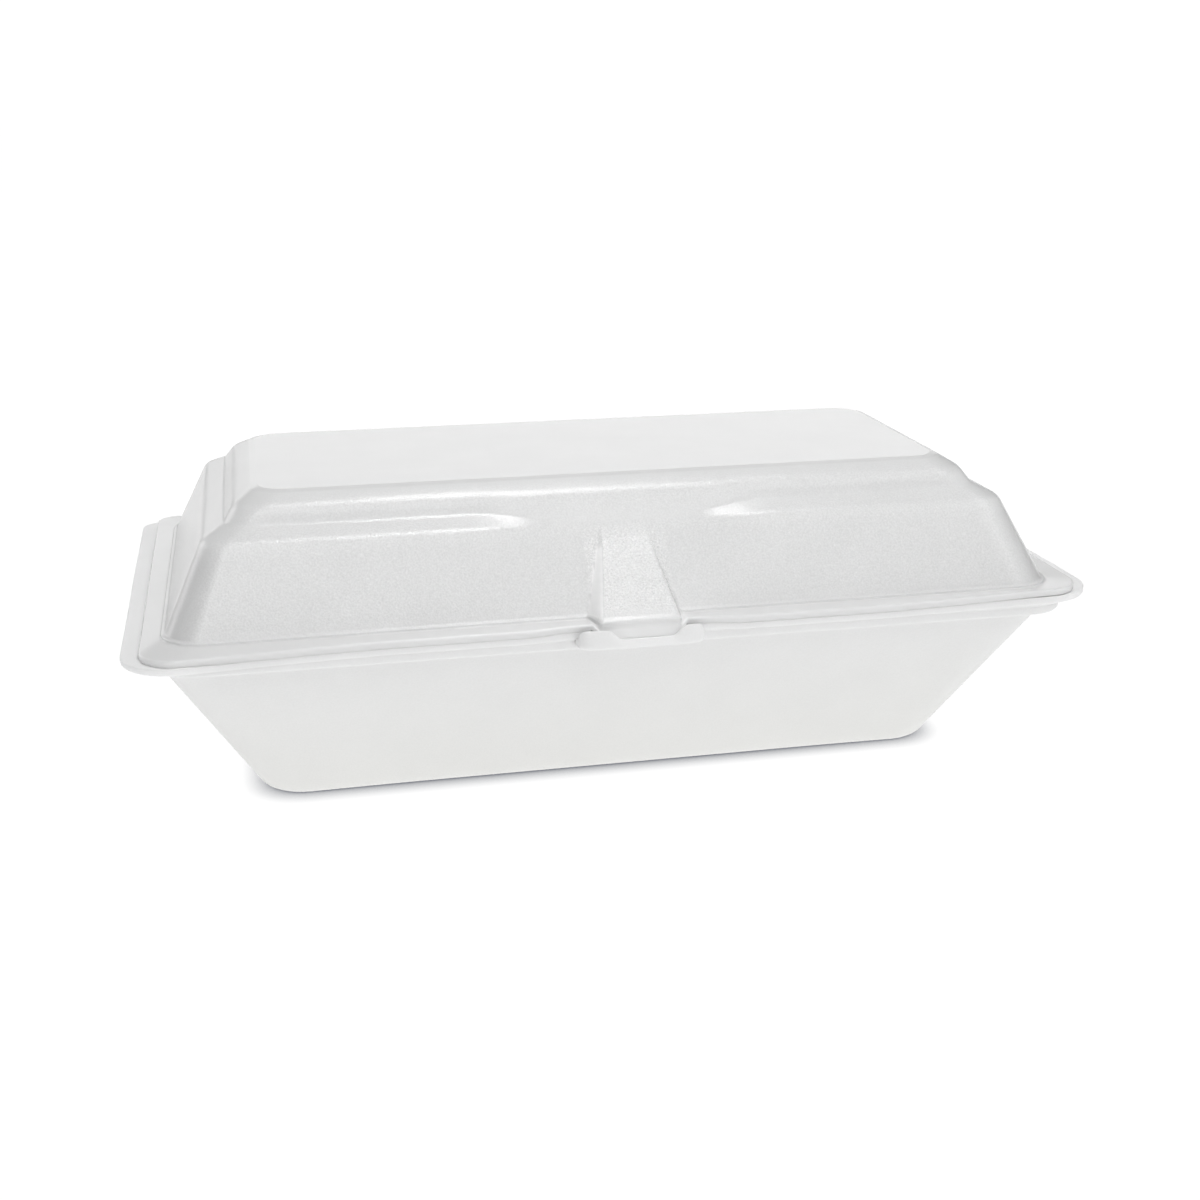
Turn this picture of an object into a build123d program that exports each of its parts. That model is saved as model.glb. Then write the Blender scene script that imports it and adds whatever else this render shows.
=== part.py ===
from build123d import *
from math import cos, pi
import os

# Foam clamshell for a long sandwich: a deep tray and a stepped lid that fold together along the back rim.
# Millimetres, +Z up, the front with its lock towards -Y. The origin is the middle of the tray's flat bottom.

# Foam sheet
WALL = 2.2                # walls, floor and top, measured square to the sheet
RIM_WALL = 1.8            # the flat rims, where the foam is pressed thinner

# Rim, shared by tray and lid
RIM_LENGTH = 247.65       # end to end over the tray's lip
RIM_DEPTH = 127.0         # front to back over the tray's lip
RIM_CORNER = 9.0          # at the front
RIM_CORNER_BACK = 5.0     # beside the hinge
RIM_WIDTH_END = 7.3       # from the lip's edge in to the wall, at the ends
RIM_WIDTH_SIDE = 7.0      # the same at front and back
PARTING = 50.0            # height of the lip's top face, where the lid lies on it
HINGE_WEB = 0.6           # foam left in the crease along the back

# Tray
FLOOR_LENGTH = 184.0
FLOOR_DEPTH = 65.0
TRAY_CORNER = 16.0        # radius between two walls, square to the leaning corner
FLOOR_EDGE = 5.0          # radius from floor to wall
STEP_HEIGHT = 2.5         # the band that shows below the lip
STEP_INSET_END = 2.8      # how far the band stands in from the lip's edge
STEP_INSET_SIDE = 1.0

# Lid, from the rim upwards
FLANGE_INSET_END = 3.0    # how far the lid's flange stands in from the lip's edge
FLANGE_INSET_FRONT = 0.4
BEAD_HEIGHT = 1.6         # small upright step at the foot of the lid's walls
BEAD_WIDTH = 1.4
BEAD_SLOPE = 0.5          # rise across the bead's ledge
FOOT_INSET_END = 2.2      # how far the lid's end walls stand in from the tray's
FOOT_CORNER = 7.0
LOWER_TIER = 23.0         # height of the lower walls above the parting face
LOWER_LEAN_END = 10.8     # how far the walls lean in over that height
LOWER_LEAN_SIDE = 10.0
SHOULDER_CORNER = 7.0
SHOULDER_EDGE = 4.5
SHELF_RISE = 2.5
SHELF_WIDTH_END = 5.6
SHELF_WIDTH_SIDE = 8.6
SHELF_CORNER = 6.0
SHELF_EDGE = 3.0
UPPER_TIER = 6.25
UPPER_LEAN_END = 6.2
UPPER_LEAN_SIDE = 3.0
TOP_CORNER = 8.0
TOP_EDGE = 3.0
PANEL_RISE = 0.8          # raised flat panel on top
PANEL_MARGIN = 2.4
PANEL_CORNER = 7.0

# Saddle: at the front middle the shelf runs out into one slope
SADDLE_LENGTH = 84.0
SADDLE_SETBACK = 2.8      # how far the shoulder steps back in the middle
SADDLE_DROP = 1.2         # how far it sinks there
SADDLE_CREASE = 0.15      # where the crease ends in the middle, as a share of the way from shoulder to top
SADDLE_HOLLOW = 0.1       # trace of the crease that stays there
SADDLE_STATIONS = 7       # profiles along the saddle
SEAM_TOLERANCE = 0.001    # edges and heights that differ by less than this count as one

# Lock: a flared ramp that runs down into a tongue, and a slot in the tray's lip that takes it
TONGUE_WIDTH = 23.5
TONGUE_DROP = 2.6         # reach below the parting face
TONGUE_CORNER = 1.5
LOCK_CLEARANCE = 0.5      # free gap between tongue and slot, all round
LOCK_BAR = 2.4            # foam in front of the slot
LOCK_BAR_HEIGHT = 3.0
LOCK_END = 4.0            # foam beside the slot
LOCK_CORNER = 3.0
RAMP_SILL = 3.0           # height of the ramp's lower edge above the parting face
RAMP_WIDTH_LOW = 20.0
RAMP_WIDTH_HIGH = 12.0
RAMP_TOP_DROP = 4.0       # from the shoulder's height down to the ramp's upper end
RAMP_EDGE = 1.2
FACE_CREASES = 5          # rounded creases about the ramp's face: its sill, two upright and two sloping


def sheet_inset(run, rise):
    """How far a leaning wall moves in, beside WALL along Z, to keep the sheet WALL thick."""
    slant = (run ** 2 + rise ** 2) ** 0.5
    return WALL * (slant - run) / rise


# Sizes that follow
LIP_UNDERSIDE = PARTING - RIM_WALL
MOUTH_Z = LIP_UNDERSIDE - STEP_HEIGHT
MOUTH_LENGTH = RIM_LENGTH - 2 * RIM_WIDTH_END
MOUTH_DEPTH = RIM_DEPTH - 2 * RIM_WIDTH_SIDE
STEP_LENGTH = RIM_LENGTH - 2 * STEP_INSET_END
STEP_DEPTH = RIM_DEPTH - 2 * STEP_INSET_SIDE
STEP_CORNER = RIM_CORNER - STEP_INSET_SIDE
STEP_CORNER_BACK = RIM_CORNER_BACK - STEP_INSET_SIDE
FLANGE_LENGTH = RIM_LENGTH - 2 * FLANGE_INSET_END
FLANGE_DEPTH = RIM_DEPTH - FLANGE_INSET_FRONT
FLANGE_TOP = PARTING + RIM_WALL
HINGE_LENGTH = FLANGE_LENGTH - 2 * RIM_CORNER_BACK
HINGE_Y = RIM_DEPTH / 2
FOOT_LENGTH = MOUTH_LENGTH - 2 * FOOT_INSET_END
BEAD_LENGTH = FOOT_LENGTH + 2 * BEAD_WIDTH
BEAD_DEPTH = MOUTH_DEPTH + 2 * BEAD_WIDTH
BEAD_CORNER = FOOT_CORNER + BEAD_WIDTH
BEAD_TOP = FLANGE_TOP + BEAD_HEIGHT
FOOT_Z = BEAD_TOP + BEAD_SLOPE
SHOULDER_Z = PARTING + LOWER_TIER
SHOULDER_LENGTH = FOOT_LENGTH - 2 * LOWER_LEAN_END
SHOULDER_DEPTH = MOUTH_DEPTH - 2 * LOWER_LEAN_SIDE
SHELF_Z = SHOULDER_Z + SHELF_RISE
SHELF_LENGTH = SHOULDER_LENGTH - 2 * SHELF_WIDTH_END
SHELF_DEPTH = SHOULDER_DEPTH - 2 * SHELF_WIDTH_SIDE
TOP_Z = SHELF_Z + UPPER_TIER
TOP_LENGTH = SHELF_LENGTH - 2 * UPPER_LEAN_END
TOP_DEPTH = SHELF_DEPTH - 2 * UPPER_LEAN_SIDE
PANEL_LENGTH = TOP_LENGTH - 2 * PANEL_MARGIN
PANEL_DEPTH = TOP_DEPTH - 2 * PANEL_MARGIN
TRAY_IN_END = sheet_inset((MOUTH_LENGTH - FLOOR_LENGTH) / 2, MOUTH_Z)
TRAY_IN_SIDE = sheet_inset((MOUTH_DEPTH - FLOOR_DEPTH) / 2, MOUTH_Z)
LID_IN_END = sheet_inset(LOWER_LEAN_END, LOWER_TIER)
LID_IN_SIDE = sheet_inset(LOWER_LEAN_SIDE, LOWER_TIER)
BAND_FRONT = -STEP_DEPTH / 2
TONGUE_BACK = BAND_FRONT - LOCK_CLEARANCE
TONGUE_FRONT = TONGUE_BACK - RIM_WALL
SLOT_FRONT = TONGUE_FRONT - LOCK_CLEARANCE
LOCK_FRONT = SLOT_FRONT - LOCK_BAR
LOCK_ROOT = BAND_FRONT + WALL
SLOT_WIDTH = TONGUE_WIDTH + 2 * LOCK_CLEARANCE
LOCK_WIDTH = SLOT_WIDTH + 2 * LOCK_END
LOCK_BOTTOM = PARTING - LOCK_BAR_HEIGHT
RAMP_TOP = SHOULDER_Z - RAMP_TOP_DROP


def outline(z, length, depth, corner):
    """Rounded rectangle lying at height z, centred on the origin's axis."""
    return Pos(0, 0, z) * RectangleRounded(length, depth, corner)


def rim(bottom, top, length, depth, corner, corner_back):
    """Flat plate between two heights, with its own corners at the front and at the back."""
    sheet = Pos(0, 0, bottom) * Rectangle(length, depth)
    sheet = fillet(sheet.vertices().group_by(Axis.Y)[0], corner)
    sheet = fillet(sheet.vertices().group_by(Axis.Y)[-1], corner_back)
    return extrude(sheet, top - bottom)


def block(width, front, back, bottom, top):
    """Box centred across the part, given by its front and back faces and its heights."""
    return Pos(0, (front + back) / 2, (bottom + top) / 2) * Box(width, back - front, top - bottom)


def crossed(front_view, side_view):
    """Flat-walled solid given by two outlines, (x, z) as seen from the front and (y, z) from the side."""
    front = make_face(Polyline(*[(x, 0, z) for x, z in front_view], close=True))
    side = make_face(Polyline(*[(0, y, z) for y, z in side_view], close=True))
    along_y = extrude(front, RIM_DEPTH, dir=(0, 1, 0), both=True)
    along_x = extrude(side, RIM_LENGTH, dir=(1, 0, 0), both=True)
    return along_y & along_x


def edges_at(solid, z):
    """The edges of a solid whose middles lie at height z."""
    return solid.edges().filter_by_position(Axis.Z, z - SEAM_TOLERANCE, z + SEAM_TOLERANCE)


def crease_groove(side):
    """V-shaped relief that thins a rim to the hinge web: side is +1 above the parting face, -1 below."""
    web = PARTING + side * HINGE_WEB
    face = PARTING + side * RIM_WALL
    section = make_face(
        Polyline((0, HINGE_Y, web), (0, HINGE_Y, face), (0, HINGE_Y - abs(face - web), face), close=True)
    )
    return extrude(section, HINGE_LENGTH / 2, dir=(1, 0, 0), both=True)


# Tray

def tub(inset_end, inset_side, lift, thinner):
    """The tapered tub, moved in by the insets and up by lift, with its radii smaller by thinner."""
    def leaning(floor, mouth, inset):
        low = floor / 2 - inset
        high = mouth / 2 - inset
        return [(-low, lift), (low, lift), (high, MOUTH_Z + lift), (-high, MOUTH_Z + lift)]

    body = crossed(
        leaning(FLOOR_LENGTH, MOUTH_LENGTH, inset_end),
        leaning(FLOOR_DEPTH, MOUTH_DEPTH, inset_side),
    )
    body = fillet(edges_at(body, MOUTH_Z / 2 + lift), TRAY_CORNER - thinner)
    return fillet(edges_at(body, lift), FLOOR_EDGE - thinner)


lip = rim(LIP_UNDERSIDE, PARTING, RIM_LENGTH, RIM_DEPTH, RIM_CORNER, RIM_CORNER_BACK) - crease_groove(-1)
band = rim(MOUTH_Z, LIP_UNDERSIDE, STEP_LENGTH, STEP_DEPTH, STEP_CORNER, STEP_CORNER_BACK)
ledge = rim(
    MOUTH_Z + WALL,
    PARTING,
    STEP_LENGTH - 2 * WALL,
    STEP_DEPTH - 2 * WALL,
    STEP_CORNER - WALL,
    STEP_CORNER_BACK - WALL,
)

# The lip swells forward round the slot, and the slot lies just in front of the band.
swell = RectangleRounded(LOCK_WIDTH, LOCK_ROOT - LOCK_FRONT, LOCK_CORNER)
lock = extrude(Pos(0, (LOCK_FRONT + LOCK_ROOT) / 2, LOCK_BOTTOM) * swell, LOCK_BAR_HEIGHT)
slot = block(SLOT_WIDTH, SLOT_FRONT, BAND_FRONT, LOCK_BOTTOM, PARTING)

tray = tub(0, 0, 0, 0) + band + (lip + lock - slot)
tray = tray - tub(TRAY_IN_END, TRAY_IN_SIDE, WALL, WALL) - ledge


# Lid

def saddle(inset_side, drop, radii):
    """Front middle of the dome: its stepped profile melts into one slope and back, along a cosine."""
    foot = (-MOUTH_DEPTH / 2, FOOT_Z)
    top = (-TOP_DEPTH / 2, TOP_Z)
    front = [foot, (-SHOULDER_DEPTH / 2, SHOULDER_Z), (-SHELF_DEPTH / 2, SHELF_Z), top]
    shoulder_y = -SHOULDER_DEPTH / 2 + SADDLE_SETBACK
    shoulder_z = SHOULDER_Z - SADDLE_DROP
    crease_y = shoulder_y + SADDLE_CREASE * (top[0] - shoulder_y) + SADDLE_HOLLOW
    crease_z = shoulder_z + SADDLE_CREASE * (top[1] - shoulder_z) - SADDLE_HOLLOW
    middle = [foot, (shoulder_y, shoulder_z), (crease_y, crease_z), top]
    sections = []
    for station in range(SADDLE_STATIONS):
        place = 2 * station / (SADDLE_STATIONS - 1) - 1
        share = cos(pi / 2 * place) ** 2
        x = place * SADDLE_LENGTH / 2
        profile = []
        for (y_front, z_front), (y_middle, z_middle) in zip(front, middle):
            y = y_front + share * (y_middle - y_front) + inset_side
            z = z_front + share * (z_middle - z_front) - drop
            profile.append((x, y, z))
        section = make_face(Polyline(*profile, (x, 0, TOP_Z - drop), (x, 0, FOOT_Z - drop), close=True))
        for corner, radius in zip(profile[1:], radii):
            section = fillet(section.vertices().sort_by_distance(corner)[0], radius)
        sections.append(section)
    return loft(sections)


def dome(inset_end, inset_side, drop, radii):
    """The stepped lid in one stack of outlines, moved in by the insets and down by drop.

    The radii round the shoulder, the shelf and the top; without them those edges stay sharp.
    """
    levels = [
        (PARTING, BEAD_LENGTH, BEAD_DEPTH, BEAD_CORNER),
        (BEAD_TOP, BEAD_LENGTH, BEAD_DEPTH, BEAD_CORNER),
        (FOOT_Z, FOOT_LENGTH, MOUTH_DEPTH, FOOT_CORNER),
        (SHOULDER_Z, SHOULDER_LENGTH, SHOULDER_DEPTH, SHOULDER_CORNER),
        (SHELF_Z, SHELF_LENGTH, SHELF_DEPTH, SHELF_CORNER),
        (TOP_Z, TOP_LENGTH, TOP_DEPTH, TOP_CORNER),
    ]
    outlines = [
        outline(z - drop, length - 2 * inset_end, depth - 2 * inset_side, corner - inset_end)
        for z, length, depth, corner in levels
    ]
    body = loft(outlines, ruled=True)
    for z, radius in zip((SHOULDER_Z, SHELF_Z, TOP_Z), radii):
        body = fillet(edges_at(body, z - drop), radius)
    body = body - block(SADDLE_LENGTH, -RIM_DEPTH, 0, FOOT_Z - drop, TOP_Z + WALL)
    body = body.fuse(saddle(inset_side, drop, radii), tol=SEAM_TOLERANCE)
    panel = outline(
        TOP_Z - drop,
        PANEL_LENGTH - 2 * inset_end,
        PANEL_DEPTH - 2 * inset_side,
        PANEL_CORNER - inset_end,
    )
    return body + extrude(panel, PANEL_RISE)


def ramp(front_low, inset, drop):
    """Flared ramp of the lock, from its upper end in the saddle down to the parting face."""
    climb = (RAMP_TOP - FOOT_Z) / (SHOULDER_Z - SADDLE_DROP - FOOT_Z)
    front_high = -MOUTH_DEPTH / 2 + climb * (LOWER_LEAN_SIDE + SADDLE_SETBACK) + inset
    back = -TOP_DEPTH / 2
    foot = PARTING - drop
    sill = foot + RAMP_SILL
    top = RAMP_TOP - drop
    low = RAMP_WIDTH_LOW / 2 - inset
    high = RAMP_WIDTH_HIGH / 2 - inset
    return crossed(
        [(-low, foot), (low, foot), (low, sill), (high, top), (-high, top), (-low, sill)],
        [(front_low, foot), (back, foot), (back, top), (front_high, top), (front_low, sill)],
    )


edges = (SHOULDER_EDGE, SHELF_EDGE, TOP_EDGE)
flange = rim(PARTING, FLANGE_TOP, FLANGE_LENGTH, FLANGE_DEPTH, RIM_CORNER, RIM_CORNER_BACK)
flange = Pos(0, FLANGE_INSET_FRONT / 2, 0) * flange - crease_groove(1)
tongue = block(TONGUE_WIDTH, TONGUE_FRONT, TONGUE_BACK, PARTING - TONGUE_DROP, FLANGE_TOP)
tongue = fillet(tongue.edges().filter_by(Axis.Y).group_by(Axis.Z)[0], TONGUE_CORNER)
crest = ramp(TONGUE_FRONT, 0, 0)
creases = crest.edges().filter_by_position(Axis.Z, PARTING, RAMP_TOP, (False, False)).sort_by(Axis.Y)
crest = fillet(creases[:FACE_CREASES], RAMP_EDGE)

# The inside follows the same form one sheet further in, with its creases left sharp.
lid = dome(0, 0, 0, edges) + flange + crest + tongue
lid = lid - dome(LID_IN_END, LID_IN_SIDE, WALL, ()) - ramp(TONGUE_BACK, WALL, WALL)

os.makedirs("parts", exist_ok=True)
export_step(tray, "parts/tray.step")
export_step(lid, "parts/lid.step")
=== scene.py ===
# %% [markdown]
# # A foam clamshell, dressed for its picture
#
# The box is one sheet of white foam, pressed hot into a deep tray and a stepped lid that fold together
# along the back rim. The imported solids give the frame: where the tray and the lid are and how the lid
# turns. They could be shown as they are, but their edges are crisper than foam is. So this lesson lays a
# finer skin over them, worked out with numpy, and gives it the look of foam.

import bpy
import numpy as np
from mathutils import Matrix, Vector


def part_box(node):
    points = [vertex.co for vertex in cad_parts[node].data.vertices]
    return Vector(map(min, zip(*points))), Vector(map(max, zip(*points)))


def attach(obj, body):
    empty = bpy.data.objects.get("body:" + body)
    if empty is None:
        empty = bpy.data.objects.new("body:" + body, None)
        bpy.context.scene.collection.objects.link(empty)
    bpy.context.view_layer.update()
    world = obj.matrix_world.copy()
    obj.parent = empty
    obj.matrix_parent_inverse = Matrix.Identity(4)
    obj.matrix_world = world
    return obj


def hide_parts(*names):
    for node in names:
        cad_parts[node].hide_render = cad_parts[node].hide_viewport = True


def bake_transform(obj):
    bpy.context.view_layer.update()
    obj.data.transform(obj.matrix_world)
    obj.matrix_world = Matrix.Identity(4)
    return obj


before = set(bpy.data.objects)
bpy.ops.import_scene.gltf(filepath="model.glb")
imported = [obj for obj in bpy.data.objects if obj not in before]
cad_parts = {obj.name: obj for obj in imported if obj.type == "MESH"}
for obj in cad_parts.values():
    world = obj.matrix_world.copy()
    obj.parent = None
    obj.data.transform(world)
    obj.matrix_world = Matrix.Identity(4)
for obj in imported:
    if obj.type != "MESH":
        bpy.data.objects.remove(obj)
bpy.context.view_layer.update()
tray_low, tray_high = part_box("tray")
lid_low, lid_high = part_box("lid")
print("tray", [round(v, 4) for v in (*tray_low, *tray_high)])
print("lid", [round(v, 4) for v in (*lid_low, *lid_high)])

# %% [markdown]
# ## The sizes that the foam is pressed to
#
# Everything is in metres. What the frame already holds is read from it: the rim's length and depth and the
# parting height. The other sizes are those of the pressed form, one line each, and each later step adds
# its own.

# %% Sizes of the sheet, the rim and the floor
WALL = 0.0022            # the sheet in the walls and the floor
RIM_WALL = 0.0018        # the sheet in the rims, which are pressed harder
PARTING = tray_high.z    # where the lid lies on the tray
RIM_LENGTH = tray_high.x - tray_low.x
RIM_DEPTH = 2 * tray_high.y
LIP_CORNER = 0.0130
RIM_CORNER_BACK = 0.0050
LIP_UNDERSIDE = PARTING - RIM_WALL
MOUTH_Z = LIP_UNDERSIDE - 0.0025
MOUTH_LENGTH = RIM_LENGTH - 2 * 0.0073
MOUTH_DEPTH = RIM_DEPTH - 2 * 0.0070
FLOOR_LENGTH = 0.186
FLOOR_DEPTH = 0.065
print("rim", round(RIM_LENGTH, 5), "x", round(RIM_DEPTH, 5), "parting at", round(PARTING, 5))

# %% [markdown]
# ## A path round the box
#
# Every level of the box is a rounded rectangle. A bevelled cube could be cut into steps, but here the whole
# skin is one profile carried round one path, so that each step of the rim is just one more level. All levels
# share the same columns. On the front, the middle columns keep their x at every level and lie close
# together, because the lock and its ramp are there; the rest spread out evenly to the corners.

# %% Columns of the path
LOCK_ZONE = 0.021        # half of the finely divided stretch about the lock
FIXED_ZONE = 0.046       # half of the stretch whose columns keep their x at every level
FINE_STEP = 0.0005
COARSER_COLUMNS = 16     # on each side, between the fine stretch and the end of the fixed one
OUTER_COLUMNS = 14       # on each side, from there to the corner
CORNER_COLUMNS = 16
END_COLUMNS = 30
BACK_COLUMNS = 60

half = np.concatenate([
    np.arange(FINE_STEP, LOCK_ZONE, FINE_STEP),
    np.linspace(LOCK_ZONE, FIXED_ZONE, COARSER_COLUMNS, endpoint=False),
])
fixed_x = np.concatenate([-half[::-1], [0.0], half])
outward = np.linspace(0, 1, OUTER_COLUMNS)
quarter = np.linspace(0, np.pi / 2, CORNER_COLUMNS, endpoint=False)
print("columns that keep their x:", fixed_x.size)


# %% One level of the box
def loop(length, depth, corner, height, shift=0.0, back=None):
    """One level of the box: points round a rounded rectangle, front first, then right, back and left.

    Straight sides are x or y running evenly; corners are centre + radius * (cos, sin) of the angle.
    """
    back = corner if back is None else back
    end, end_back = length / 2 - corner, length / 2 - back
    near, far = corner - depth / 2, depth / 2 - back
    reach = FIXED_ZONE + outward * (end - FIXED_ZONE)
    front = np.concatenate([-reach[::-1], fixed_x, reach[:-1]])
    side = np.linspace(near, far, END_COLUMNS, endpoint=False)
    rear = np.linspace(end_back, -end_back, BACK_COLUMNS, endpoint=False)
    cosine, sine = np.cos(quarter), np.sin(quarter)
    straight = np.full(END_COLUMNS, length / 2)
    x = np.concatenate([
        front, end + corner * sine, straight, end_back + back * cosine,
        rear, -end_back - back * sine, -straight, -end - corner * cosine,
    ])
    y = np.concatenate([
        np.full(front.size, -depth / 2), near - corner * cosine, side, far + back * sine,
        np.full(BACK_COLUMNS, depth / 2), far + back * cosine, near + far - side, near - corner * sine,
    ])
    return np.stack([x, y + shift, np.full(x.size, height)], axis=1)


OFF_FRONT = 1.0          # an x far outside the lock, for the columns that aren't on the front
columns = loop(RIM_LENGTH, RIM_DEPTH, LIP_CORNER, 0, back=RIM_CORNER_BACK)
FRONT_COLUMNS = 2 * OUTER_COLUMNS + fixed_x.size - 1
place = np.arange(len(columns))
column_x = np.where(place < FRONT_COLUMNS, columns[:, 0], OFF_FRONT)
print("columns round the box:", len(columns), "of them on the front:", FRONT_COLUMNS)

# %% [markdown]
# ## From a stack of levels to a smooth skin
#
# Foam has no sharp edges: each crease is a small arc. A Bevel modifier could round them, but here each
# crease needs a radius of its own. So the stack of levels is a control polygon for every column at once:
# each of its corners is cut back by its radius and filled with a parabola, and long straight stretches get
# rows of their own. Each point carries two more numbers along: how grainy the foam is there, and how much
# painted shade or painted light its colour gets there.

# %% Rounding the profile
ARC_ROWS = 7
ROW_LENGTH = 0.005
ARC_PART = 0.96          # an arc uses at most this much of its part of a stretch
LEAST_RADIUS = 1e-6
LEAST_LENGTH = 1e-9


def straight_rows(first, last):
    """Even rows strictly between two rows, about ROW_LENGTH apart: first + s * (last - first)."""
    count = int(np.linalg.norm((last - first)[:, :3], axis=1).mean() / ROW_LENGTH)
    return [first + s * (last - first) for s in np.linspace(0, 1, count + 2)[1:-1]]


def smooth_skin(levels, radii):
    """Rows of points through the levels, with the corner at each level rounded.

    At corner C the arc leaves at P0 = C + cut towards the level before and ends at P1 = C + cut towards
    the level after, cut = radius * tan(turn / 2), and follows (1-t)^2 P0 + 2 t (1-t) C + t^2 P1. Two
    corners share the stretch between them in the ratio of their radii, so a cut is at most its part of it.
    """
    control = np.stack(levels)
    radius = np.array(radii) + LEAST_RADIUS
    rows = [control[0]]
    t = np.linspace(0, 1, ARC_ROWS)[:, None, None]
    for k in range(1, len(control) - 1):
        before, after = control[k - 1] - control[k], control[k + 1] - control[k]
        long_before = np.linalg.norm(before[:, :3], axis=1, keepdims=True) + LEAST_LENGTH
        long_after = np.linalg.norm(after[:, :3], axis=1, keepdims=True) + LEAST_LENGTH
        cosine = (before[:, :3] * after[:, :3]).sum(1, keepdims=True) / (long_before * long_after)
        turn = np.pi - np.arccos(np.clip(cosine, -1, 1))
        cut = radius[k] * np.tan(turn / 2)
        part_before, part_after = (radius[k] / (radius[k] + radius[j]) for j in (k - 1, k + 1))
        first = control[k] + before * np.minimum(cut / long_before, ARC_PART * part_before)
        last = control[k] + after * np.minimum(cut / long_after, ARC_PART * part_after)
        rows.extend(straight_rows(rows[-1], first))
        rows.extend((1 - t) ** 2 * first + 2 * t * (1 - t) * control[k] + t ** 2 * last)
    rows.extend(straight_rows(rows[-1], control[-1]))
    rows.append(control[-1])
    return np.stack(rows)


print("rows in each rounded crease:", ARC_ROWS)


# %% Skin to mesh
def with_foam(level, grain, painted_shading):
    """A level's points with grain and painted shading as their fourth and fifth numbers."""
    extra = np.stack([np.broadcast_to(grain, len(level)), np.broadcast_to(painted_shading, len(level))], axis=1)
    return np.concatenate([level, extra], axis=1)


def foam_piece(name, rows):
    """A closed mesh from rows of points: quads between neighbours, flat caps on the first and last row."""
    count, around = rows.shape[:2]
    index = np.arange(count * around).reshape(count, around)
    ahead = np.roll(index, -1, axis=1)
    quads = np.stack([index[:-1], ahead[:-1], ahead[1:], index[1:]], axis=-1).reshape(-1, 4)
    caps = [index[0][::-1].tolist(), index[-1].tolist()]
    mesh = bpy.data.meshes.new(name)
    mesh.from_pydata(rows[:, :, :3].reshape(-1, 3), [], quads.tolist() + caps)
    mesh.polygons.foreach_set("use_smooth", np.ones(len(mesh.polygons), dtype=bool))
    for number, attribute in ((3, "grain"), (4, "painted_shading")):
        values = np.ascontiguousarray(rows[:, :, number], dtype=np.float32).ravel()
        mesh.attributes.new(attribute, "FLOAT", "POINT").data.foreach_set("value", values)
    mesh.update()
    piece = bpy.data.objects.new(name, mesh)
    bpy.context.scene.collection.objects.link(piece)
    print(name, "vertices", len(mesh.vertices), "faces", len(mesh.polygons))
    return piece


# %% [markdown]
# ## The tray
#
# The tray's sheet runs from the middle of the floor up the leaning walls, out under the rim band and the
# lip, over the lip and down the inside. A single surface with a Solidify modifier would be as thick
# everywhere. Drawing the one profile in order, outside and then inside, gives the rim its own thickness,
# and the tray is a true closed shell.

# %% Tray outlines
def sheet_inset(run, rise):
    """How far in a leaning wall's inner face lies, beside WALL along Z: WALL * (slant - run) / rise."""
    return WALL * (np.hypot(run, rise) - run) / rise


TRAY_IN_END = sheet_inset((MOUTH_LENGTH - FLOOR_LENGTH) / 2, MOUTH_Z)
TRAY_IN_SIDE = sheet_inset((MOUTH_DEPTH - FLOOR_DEPTH) / 2, MOUTH_Z)
TRAY_CORNER = 0.0120
FLOOR_MARGIN = 0.030     # how much smaller the cap in the floor's middle is
FLOOR_CORNER = 0.005
HINGE_HALF = (lid_high.x - lid_low.x) / 2 - RIM_CORNER_BACK

at_hinge = (columns[:, 1] > RIM_DEPTH / 2 - 1e-6) & (np.abs(columns[:, 0]) < HINGE_HALF)


def rim_loop(inset_end, inset_side, height, groove=0.0):
    """A level of the tray's rim, moved in from the lip's edge; groove moves its hinge columns in more."""
    level = loop(RIM_LENGTH - 2 * inset_end, RIM_DEPTH - 2 * inset_side, LIP_CORNER - inset_side, height,
                 back=RIM_CORNER_BACK - inset_side)
    level[:, 1] -= at_hinge * groove
    return level


def tray_loop(inset_end, inset_side, share, height):
    """A level of the tray's wall: share 0 is the floor's outline and share 1 the mouth's."""
    length = FLOOR_LENGTH + share * (MOUTH_LENGTH - FLOOR_LENGTH) - 2 * inset_end
    depth = FLOOR_DEPTH + share * (MOUTH_DEPTH - FLOOR_DEPTH) - 2 * inset_side
    return loop(length, depth, TRAY_CORNER - inset_end, height)


print("inner faces of the tray stand in by", round(TRAY_IN_END, 5), "and", round(TRAY_IN_SIDE, 5))

# %% Lip of the tray
HINGE_WEB = 0.0006       # what is left of the sheet in the crease at the back
GROOVE = RIM_WALL - HINGE_WEB

lip_low = rim_loop(0, 0, LIP_UNDERSIDE, GROOVE)
lip_edge = rim_loop(0, 0, PARTING - RIM_WALL / 2)
lip_high = rim_loop(0, 0, PARTING)
lip_edge[:, 2] += at_hinge * (RIM_WALL / 2 - HINGE_WEB)
print("columns in the crease:", int(at_hinge.sum()))

# %% [markdown]
# ### The slot in the lip
#
# Along the front the lip's edge lies a little behind the lid's flange, in its shade. In the middle it is
# cut back further, and a bar of foam stands in front of the cut: the gap between them takes the lid's
# tongue. A Boolean could make the cut, but moving the columns keeps the grid whole. The foam isn't flat
# either: the rim is warped a little at its front corners, and rises a little towards the lock.

# %% Shares along the rim
WARP = 0.0012            # how far the rim goes up at its front right corner and down at the left one
WARP_START = 0.060       # the warp starts this far from the middle
WARP_BEHIND = 0.020      # and in front of this y
WARP_FADE = 0.060        # and grows over this length
LIFT_REACH, LIFT_FADE = 0.0280, 0.0110   # where the rise towards the lock starts, and how long it grows
NEAR_REACH, NEAR_FADE = 0.0170, 0.0060   # the same for the rise close beside the ramp


def fade(distance, width):
    """0 up to distance 0, then 3 s^2 - 2 s^3 with s = distance / width, and 1 from distance width on."""
    s = np.clip(distance / width, 0, 1)
    return s * s * (3 - 2 * s)


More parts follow.
